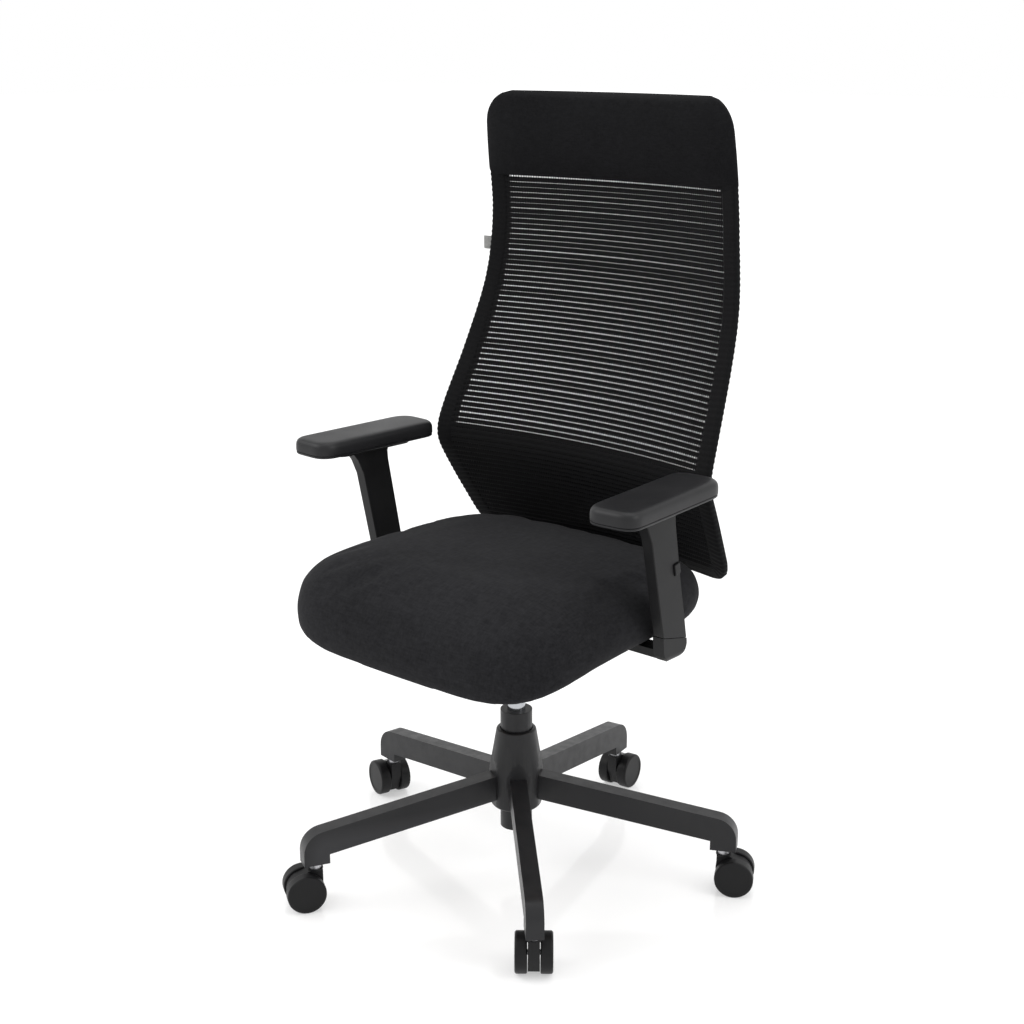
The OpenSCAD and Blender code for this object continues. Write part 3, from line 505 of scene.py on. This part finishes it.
def strand_tree():
    """Ribs and threads laid on a surface: rows across at one pitch, threads up at another."""
    tree = bpy.data.node_groups.new("laid_strands", "GeometryNodeTree")
    face = tree.interface
    face.new_socket("Geometry", in_out="INPUT", socket_type="NodeSocketGeometry")
    inputs = {}
    for label, kind, value in (("Half Width", "Float", 0.3), ("Low", "Float", 0.5), ("High", "Float", 1.0),
                               ("Rib Pitch", "Float", 0.008), ("Rib Width", "Float", 0.006),
                               ("Rib Depth", "Float", 0.001), ("Thread Pitch", "Float", 0.004),
                               ("Thread Width", "Float", 0.002), ("Thread Depth", "Float", 0.0006),
                               ("Jitter", "Float", 0.0003), ("Unevenness", "Float", 0.05)):
        inputs[label] = face.new_socket(label, in_out="INPUT", socket_type="NodeSocket" + kind)
        inputs[label].default_value = value
    inputs["Seed"] = face.new_socket("Seed", in_out="INPUT", socket_type="NodeSocketInt")
    inputs["Material"] = face.new_socket("Material", in_out="INPUT", socket_type="NodeSocketMaterial")
    face.new_socket("Geometry", in_out="OUTPUT", socket_type="NodeSocketGeometry")
    group = tree.nodes.new("NodeGroupInput")
    out = tree.nodes.new("NodeGroupOutput")

    def node(kind, **properties):
        made = tree.nodes.new(kind)
        for key, value in properties.items():
            setattr(made, key, value)
        return made

    link = tree.links.new

    def arithmetic(operation, a, b):
        made = node("ShaderNodeMath", operation=operation)
        for socket, value in zip(made.inputs, (a, b)):
            if isinstance(value, (int, float)):
                socket.default_value = value
            else:
                link(value, socket)
        return made.outputs[0]

    def vector(x=0.0, y=0.0, z=0.0):
        made = node("ShaderNodeCombineXYZ")
        for socket, value in zip(made.inputs, (x, y, z)):
            if isinstance(value, (int, float)):
                socket.default_value = value
            else:
                link(value, socket)
        return made.outputs[0]

    def laid(line_start, line_end, first, count, offset, spacing, width, depth, up, seed_shift):
        """One family of strands: a line repeated, dropped onto the surface, given a flat round section."""
        line = node("GeometryNodeCurvePrimitiveLine")
        link(line_start, line.inputs["Start"])
        link(line_end, line.inputs["End"])
        resample = node("GeometryNodeResampleCurve")
        resample.mode = "LENGTH"
        resample.inputs["Length"].default_value = spacing
        link(line.outputs[0], resample.inputs["Curve"])
        places = node("GeometryNodeMeshLine")
        link(count, places.inputs["Count"])
        link(first, places.inputs["Start Location"])
        link(offset, places.inputs["Offset"])
        jitter = node("FunctionNodeRandomValue", data_type="FLOAT")
        link(arithmetic("MULTIPLY", group.outputs["Jitter"], -1.0), jitter.inputs[2])
        link(group.outputs["Jitter"], jitter.inputs[3])
        link(arithmetic("ADD", group.outputs["Seed"], seed_shift), jitter.inputs["Seed"])
        shake = node("GeometryNodeSetPosition")
        link(places.outputs[0], shake.inputs["Geometry"])
        link(vector(0.0, 0.0, jitter.outputs[1]) if up else vector(jitter.outputs[1]), shake.inputs["Offset"])
        copies = node("GeometryNodeInstanceOnPoints")
        link(shake.outputs[0], copies.inputs["Points"])
        link(resample.outputs[0], copies.inputs["Instance"])
        real = node("GeometryNodeRealizeInstances")
        link(copies.outputs[0], real.inputs[0])
        ray = node("GeometryNodeRaycast", data_type="FLOAT_VECTOR")
        link(group.outputs["Geometry"], ray.inputs["Target Geometry"])
        ray.inputs["Ray Direction"].default_value = (0, 1, 0)
        ray.inputs["Ray Length"].default_value = 3.0
        drop = node("GeometryNodeSetPosition")
        link(ray.outputs["Hit Position"], drop.inputs["Position"])
        missed = node("FunctionNodeBooleanMath", operation="NOT")
        kept = node("GeometryNodeDeleteGeometry", domain="POINT")
        captured = node("GeometryNodeCaptureAttribute")
        captured.capture_items.new("BOOLEAN", "Hit")
        link(real.outputs[0], captured.inputs[0])
        link(ray.outputs["Is Hit"], captured.inputs["Hit"])
        link(captured.outputs[0], drop.inputs["Geometry"])
        link(captured.outputs["Hit"], missed.inputs[0])
        link(drop.outputs[0], kept.inputs["Geometry"])
        link(missed.outputs[0], kept.inputs["Selection"])
        section = node("GeometryNodeCurvePrimitiveCircle")
        section.inputs["Resolution"].default_value = 8 if up else 6
        section.inputs["Radius"].default_value = 0.5
        flatten = node("GeometryNodeTransform")
        link(section.outputs[0], flatten.inputs["Geometry"])
        link(vector(depth, width, 1.0) if up else vector(width, depth, 1.0), flatten.inputs["Scale"])
        spread = node("ShaderNodeTexNoise", noise_dimensions="3D")
        spread.inputs["Scale"].default_value = 1.0
        spread.inputs["Detail"].default_value = 2.0
        where = node("GeometryNodeInputPosition")
        stretched = node("ShaderNodeVectorMath", operation="MULTIPLY")
        link(where.outputs[0], stretched.inputs[0])
        stretched.inputs[1].default_value = (14, 0, 3)
        link(stretched.outputs[0], spread.inputs["Vector"])
        level = node("ShaderNodeMapRange")
        link(spread.outputs["Fac"], level.inputs["Value"])
        for label, value in (("From Min", 0.35), ("From Max", 0.65)):
            level.inputs[label].default_value = value
        link(arithmetic("SUBTRACT", 1.0, group.outputs["Unevenness"]), level.inputs["To Min"])
        link(arithmetic("ADD", 1.0, group.outputs["Unevenness"]), level.inputs["To Max"])
        swell = node("GeometryNodeSetCurveRadius")
        link(kept.outputs[0], swell.inputs["Curve"])
        link(level.outputs[0], swell.inputs["Radius"])
        swept = node("GeometryNodeCurveToMesh")
        swept.inputs["Fill Caps"].default_value = True
        link(swell.outputs[0], swept.inputs["Curve"])
        link(flatten.outputs[0], swept.inputs["Profile Curve"])
        return swept.outputs[0]

    g = group.outputs
    left = arithmetic("MULTIPLY", g["Half Width"], -1.0)
    tall = arithmetic("SUBTRACT", g["High"], g["Low"])
    rib_count = arithmetic("FLOOR", arithmetic("DIVIDE", tall, g["Rib Pitch"]), 0.0)
    thread_count = arithmetic("FLOOR", arithmetic("DIVIDE", arithmetic("MULTIPLY", g["Half Width"], 2.0),
                                                  g["Thread Pitch"]), 0.0)
    ribs = laid(vector(left, -1.0), vector(g["Half Width"], -1.0), vector(0.0, 0.0, g["Low"]), rib_count,
                vector(0.0, 0.0, g["Rib Pitch"]), 0.012, g["Rib Width"], g["Rib Depth"], True, 1)
    threads = laid(vector(0.0, -1.0, g["Low"]), vector(0.0, -1.0, g["High"]), vector(left), thread_count,
                   vector(g["Thread Pitch"]), 0.009, g["Thread Width"], g["Thread Depth"], False, 2)
    join = node("GeometryNodeJoinGeometry")
    link(ribs, join.inputs[0])
    link(threads, join.inputs[0])
    real = node("GeometryNodeRealizeInstances")
    link(join.outputs[0], real.inputs[0])
    paint = node("GeometryNodeSetMaterial")
    link(real.outputs[0], paint.inputs["Geometry"])
    link(g["Material"], paint.inputs["Material"])
    link(paint.outputs[0], out.inputs["Geometry"])
    return tree, {label: socket.identifier for label, socket in inputs.items()}


def make_mesh_cloth():
    """The ribbed mesh: ribs across, threads up, laid on the back's surface and let into the rim."""
    base = surface_grid("back_cloth", BACK_LOW + 6 * MM, SEAM_Z + 6 * MM, 8 * MM, 1.6 * MM, 1.2 * MM, YARN)
    tree, sockets = strand_tree()
    modifier = base.modifiers.new("strands", "NODES")
    modifier.node_group = tree
    sizes = {"Half Width": 0.28, "Low": BACK_LOW + 8 * MM, "High": SEAM_Z + 5 * MM, "Rib Pitch": RIB_PITCH,
             "Rib Width": 7.6 * MM, "Rib Depth": 1.2 * MM, "Thread Pitch": THREAD_PITCH,
             "Thread Width": 3.0 * MM, "Thread Depth": 0.7 * MM, "Jitter": 0.35 * MM, "Unevenness": 0.075,
             "Seed": 4, "Material": YARN}
    for label, value in sizes.items():
        modifier[sockets[label]] = value
    settled(base)
    finish_piece(base, "back", ["back_mesh"])
    return base


def make_panel():
    """Padded lumbar panel behind the lower mesh."""
    margin = 16 * MM
    panel = surface_grid("lumbar_backing", BACK_LOW + margin, PANEL_TOP_Z, margin, -2.0 * MM, -12 * MM,
                         BACKING)
    return finish_piece(panel, "back", ["lumbar_panel"])


def make_shell():
    """Glossy moulding over the lower rear: a dished plate with a rolled lip round it."""
    z0, z1 = (corner.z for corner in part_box("rear_shell"))
    rows, columns = 40, 56
    rings = []
    for j in range(rows + 1):
        z = z0 + (z1 - z0) * j / rows
        w = back_half(z) - REAR_DRAFT
        ring = []
        for i in range(columns + 1):
            x = -w + 2 * w * i / columns
            edge = min(w - abs(x), z - z0 + 1 * MM, z1 - z)
            lip = 5 * MM * max(0.0, 1 - edge / (9 * MM)) ** 2
            ring.append(back_point(x, z, -(FRAME_T + 4.3 * MM) + lip))
        for i in range(columns, -1, -1):
            ring.append(back_point(-w + 2 * w * i / columns, z, -FRAME_T + 0.5 * MM))
        rings.append(ring)
    points, faces = skinned(rings)
    shell = from_points("glossy_rear_shell", points, faces, GLOSS, 50)
    return finish_piece(shell, "back", ["rear_shell"])


def make_headrest():
    """Padded head cover: pulled over the frame's top, full and round in front, drawn in at its seam."""
    low, high = SEAM_Z - 3 * MM, BACK_HIGH + 3 * MM
    bulge = 20 * MM
    rows, around = 44, 72
    rings = []
    for j in range(rows + 1):
        t = j / rows
        z = low + (high - low) * (1 - math.cos(math.pi * t)) / 2
        s = (z - low) / (high - low)
        inside = SEAM_Z + (BACK_HIGH - 0.5 * MM - SEAM_Z) * (z - low) / (high - low)
        w = back_half(inside) + 3 * MM * min(1.0, (z - low) / (8 * MM))
        crown = bulge * (math.sin(math.pi * min(1.0, s * 0.98 + 0.02)) ** 0.75)
        thin = min(1.0, math.sqrt(max(0.0, 1 - max(0.0, (z - (high - 13 * MM)) / (13 * MM)) ** 2)) + 0.03)
        ring = []
        for i in range(around):
            a = math.tau * i / around
            c, sn = math.cos(a), math.sin(a)
            v = math.copysign(abs(sn) ** 0.55, sn)
            x = (w - REAR_DRAFT * max(0.0, -v)) * math.copysign(abs(c) ** 0.30, c)
            edge = 1 - abs(x / w) ** 7
            ahead = 6 * MM + crown * edge
            depth = ahead if sn > 0 else 9 * MM
            y = back_y(x, inside) + FRAME_T / 2 - v * (depth + FRAME_T / 2 * (1 if sn > 0 else 0)) * thin
            ring.append(Vector((x, y, z)))
        rings.append(ring)
    points, faces = skinned(rings)
    head = from_points("headrest_cover", points, faces, KNIT, None)
    finish_piece(head, "back", ["headrest_pad"])
    return head


def make_tag():
    """Blank woven tag sewn into the rim's outer edge on the sitter's right."""
    z = 0.953
    x = -back_half(z)
    y = back_y(x, z)
    w, h, t = 14 * MM, 21 * MM, 0.8 * MM
    sewn_in, steps = 2 * MM, 6
    rings = []
    for k in range(steps + 1):
        s = k / steps
        bend = 2.0 * MM * math.sin(s * math.pi)
        at_x = x + sewn_in - (w + sewn_in) * s
        half_h = h / 2 - (0.8 * MM if k == steps else 0)
        rings.append([Vector((at_x, y - bend + side_y * t / 2, z + side_z * half_h))
                      for side_y, side_z in ((-1, -1), (-1, 1), (1, 1), (1, -1))])
    points, faces = skinned(rings)
    tag_cloth = woven("tag_cloth", (0.12, 0.12, 0.12), (0.3, 0.3, 0.29), 0.0007, 0.0002, 0.1)
    tag = from_points("side_tag", points, faces, tag_cloth, 60)
    finish_piece(tag, "back")
    return tag


# ---- seat ----

def seat_shell(shrink):
    """The cushion's outer form: the CAD solid's skin, smoothed and drawn in a little."""
    mesh = bpy.data.meshes.new("seat_form")
    bm = bmesh.new()
    bm.from_mesh(nodes["seat_cushion"].data)
    bmesh.ops.remove_doubles(bm, verts=bm.verts, dist=0.02 * MM)
    bm.to_mesh(mesh)
    bm.free()
    obj = bpy.data.objects.new("seat_cover", mesh)
    bpy.context.scene.collection.objects.link(obj)
    remesh = obj.modifiers.new("even", "REMESH")
    remesh.mode = "VOXEL"
    remesh.voxel_size = 5 * MM
    settled(obj)
    smooth = obj.modifiers.new("ease", "SMOOTH")
    smooth.factor = 0.5
    smooth.iterations = 6
    settled(obj)
    for v in obj.data.vertices:
        v.co -= v.normal * shrink
    return obj


def make_seat():
    """Upholstered seat: a foam block that the cloth is stretched over, drawn tight under the edge."""
    seat = seat_shell(1.5 * MM)
    rest = [v.co.copy() for v in seat.data.vertices]
    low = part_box("seat_board")[0].z
    pinned = seat.vertex_groups.new(name="stapled")
    under = [v.index for v in seat.data.vertices if v.co.z < low + 6 * MM and v.normal.z < -0.3]
    pinned.add(under, 1.0, "REPLACE")
    cloth = seat.modifiers.new("stretch", "CLOTH")
    cloth.settings.quality = 5
    cloth.settings.mass = 0.3
    cloth.settings.use_pressure = True
    cloth.settings.uniform_pressure_force = 4.0
    cloth.settings.tension_stiffness = 40
    cloth.settings.compression_stiffness = 40
    cloth.settings.bending_stiffness = 12
    cloth.settings.vertex_group_mass = "stapled"
    cloth.settings.effector_weights.gravity = 0.0
    cloth.collision_settings.use_collision = False
    for step in range(1, 21):
        bpy.context.scene.frame_set(step)
    settled(seat)
    bpy.context.scene.frame_set(1)
    cap = 5 * MM
    for v, start in zip(seat.data.vertices, rest):
        move = v.co - start
        if move.length > cap:
            v.co = start + move * (cap / move.length)
    ease = seat.modifiers.new("ease", "SMOOTH")
    ease.factor = 0.5
    ease.iterations = 4
    finer = seat.modifiers.new("finer", "SUBSURF")
    finer.levels = finer.render_levels = 1
    settled(seat)
    cover = seat.data
    cover.materials.clear()
    cover.materials.append(SEAT_CLOTH)
    cover.polygons.foreach_set("use_smooth", [True] * len(cover.polygons))
    finish_piece(seat, "seat", ["seat_cushion"])
    return seat


# ---- arms ----

def top_outline(node):
    """The outline of a node's flat top, in order round its middle."""
    mesh = nodes[node].data
    top = max(v.co.z for v in mesh.vertices)
    flat = {(round(v.co.x, 6), round(v.co.y, 6)) for v in mesh.vertices if v.co.z > top - 0.1 * MM}
    cx = sum(p[0] for p in flat) / len(flat)
    cy = sum(p[1] for p in flat) / len(flat)
    return sorted(flat, key=lambda p: math.atan2(p[1] - cy, p[0] - cx))


def drawn_in(loop, distance):
    """A long outline drawn in by a distance on every side, its corners tightening with it."""
    n = len(loop)
    cx, cy = sum(p[0] for p in loop) / n, sum(p[1] for p in loop) / n
    xx = sum((p[0] - cx) ** 2 for p in loop)
    yy = sum((p[1] - cy) ** 2 for p in loop)
    xy = sum((p[0] - cx) * (p[1] - cy) for p in loop)
    turn = 0.5 * math.atan2(2 * xy, xx - yy)
    c, s = math.cos(turn), math.sin(turn)
    own = [((p[0] - cx) * c + (p[1] - cy) * s, (p[1] - cy) * c - (p[0] - cx) * s) for p in loop]
    half_l, half_w = max(p[0] for p in own), max(p[1] for p in own)
    scaled = [(u * (1 - distance / half_l), v * (1 - distance / half_w)) for u, v in own]
    return [(cx + u * c - v * s, cy + u * s + v * c) for u, v in scaled]


def make_pad(side):
    """Arm pad: soft skin over foam, rounded over its top, with a hard tray line low on its side."""
    node = f"arm_pad_{side}"
    low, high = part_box(node)[0].z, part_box(node)[1].z
    t = high - low
    loop = smooth_loop(evenly(top_outline(node), 168), 4)
    tray = [(16, 0.0), (3.0, 0.0), (1.2, 0.5), (0.5, 1.4), (0.5, 3.6), (1.5, 4.1), (1.5, 4.6), (0.1, 5.1)]
    cover = [(0.0, 6.5), (0.0, 10), (0.1, 14), (0.5, 17.5), (1.4, 20.0), (2.9, 22.1), (5.0, 23.7),
             (8.0, 24.6), (12, 24.95), (18, 25.0), (27, 25.0), (35, 25.0)]
    rings = []
    for inset, up in tray + cover:
        drawn = drawn_in(loop, inset * MM)
        rings.append([Vector((x, y, low + t * up / 25)) for x, y in drawn])
    points, faces = skinned(rings)
    pad = from_points(f"arm_pad_cover_{side}", points, faces, SKIN, 40)
    finish_piece(pad, f"pad_{side}", [node])
    return pad


# ---- build ----

make_rim()
make_mesh_cloth()
make_panel()
make_shell()
make_headrest()
make_tag()
make_seat()
for side in SIDES:
    make_pad(side)
    eased(f"arm_sleeve_{side}", f"arm_{side}", NYLON, 1.6 * MM, split=True)
    eased(f"arm_bracket_{side}", "seat", NYLON, 1.2 * MM)
    eased(f"pad_slide_{side}", f"arm_{side}", NYLON, 0.8 * MM)
    eased(f"height_button_{side}", f"height_button_{side}", NYLON, 1.0 * MM)
    eased(f"pad_button_{side}", f"pad_button_{side}", NYLON, 1.0 * MM)
eased("base_hub", "root", PAINT, 1.5 * MM)
eased("base_legs", "root", PAINT, 2.2 * MM)
eased("gas_tube", "root", PAINT, 0.5 * MM)
eased("mechanism_housing", "lift", MECH_PAINT, 1.5 * MM)
eased("tension_knob", "tension_knob", NYLON, 1.5 * MM)
eased("height_lever", "height_lever", NYLON, 1.5 * MM)
eased("tilt_lever", "tilt_lever", NYLON, 1.5 * MM)
eased("seat_plate", "seat", MECH_PAINT, 0.8 * MM)
eased("back_bar", "back", PAINT, 1.8 * MM)
for number in CASTERS:
    eased(f"caster_{number}_housing", f"caster_{number}", WHEEL_NYLON, 1.2 * MM)
    for letter in "ab":
        eased(f"caster_{number}_wheel_{letter}", f"wheel_{number}{letter}", WHEEL_NYLON,
              0.4 * MM)

FINISHES = {
    STEEL: ["piston_rod", "valve_pin", "thrust_bearing", "pivot_pins", "tension_spring", "seat_bolts",
            "back_bolts", "arm_upright_left", "arm_upright_right"] + [f"caster_{n}_pins" for n in CASTERS],
    CHROME: ["gas_cylinder"],
    NYLON: ["stem_sockets", "tube_bush"],
    PLY: ["seat_board"],
}
for material, names in FINISHES.items():
    for name in names:
        data = nodes[name].data
        data.materials.clear()
        data.materials.append(material)


# ---- studio ----

def make_floor():
    """Pale, slightly polished floor that fades into the white room."""
    mesh = bpy.data.meshes.new("studio_floor")
    size = 30.0
    corners = [(-size, -size, 0), (size, -size, 0), (size, size, 0), (-size, size, 0)]
    mesh.from_pydata(corners, [], [(0, 1, 2, 3)])
    mat, tree, shader = new_material("pale_floor", (0.62, 0.62, 0.62), 0.12, 0.5)
    shader.inputs["Emission Color"].default_value = (1, 1, 1, 1)
    shader.inputs["Emission Strength"].default_value = 0.42
    tree.links.new(ramp(tree, noise(tree, 2, 2), 0.3, 0.8, 0.1, 0.13), shader.inputs["Roughness"])
    floor = link_mesh("studio_floor", mesh, mat, None)
    return floor


def softbox(name, place_at, look_at, width, height, power):
    data = bpy.data.lights.new(name, "AREA")
    data.shape = "RECTANGLE"
    data.size, data.size_y = width, height
    data.energy = power
    lamp = bpy.data.objects.new(name, data)
    lamp.location = place_at
    lamp.rotation_euler = (Vector(look_at) - Vector(place_at)).to_track_quat("-Z", "Y").to_euler()
    bpy.context.scene.collection.objects.link(lamp)
    return lamp


def make_room():
    world = bpy.data.worlds.new("white_room")
    world.use_nodes = True
    sky = world.node_tree.nodes["Background"]
    sky.inputs["Color"].default_value = (1, 1, 1, 1)
    sky.inputs["Strength"].default_value = 1.0
    bpy.context.scene.world = world
    bpy.context.scene.view_settings.view_transform = "Standard"


CAMERA_AT = (1.5389, -1.7906, 1.2796)
CAMERA_LOOK = (-0.62762, 0.72604, -0.28100)


def make_camera():
    data = bpy.data.cameras.new("camera")
    data.lens = 57.53
    data.sensor_width = 36.0
    data.clip_end = 100.0
    camera = bpy.data.objects.new("camera", data)
    camera.location = CAMERA_AT
    camera.rotation_euler = Vector(CAMERA_LOOK).to_track_quat("-Z", "Y").to_euler()
    bpy.context.scene.collection.objects.link(camera)
    bpy.context.scene.camera = camera


make_floor()
make_room()
softbox("key", (-2.2, -2.2, 3.0), (0, 0, 0.6), 2.2, 2.2, 55)
softbox("fill", (2.8, 0.6, 2.2), (0, 0, 0.6), 1.4, 2.0, 25)
softbox("top", (0.2, 0.4, 3.6), (0, 0, 0.5), 2.6, 2.6, 25)
make_camera()
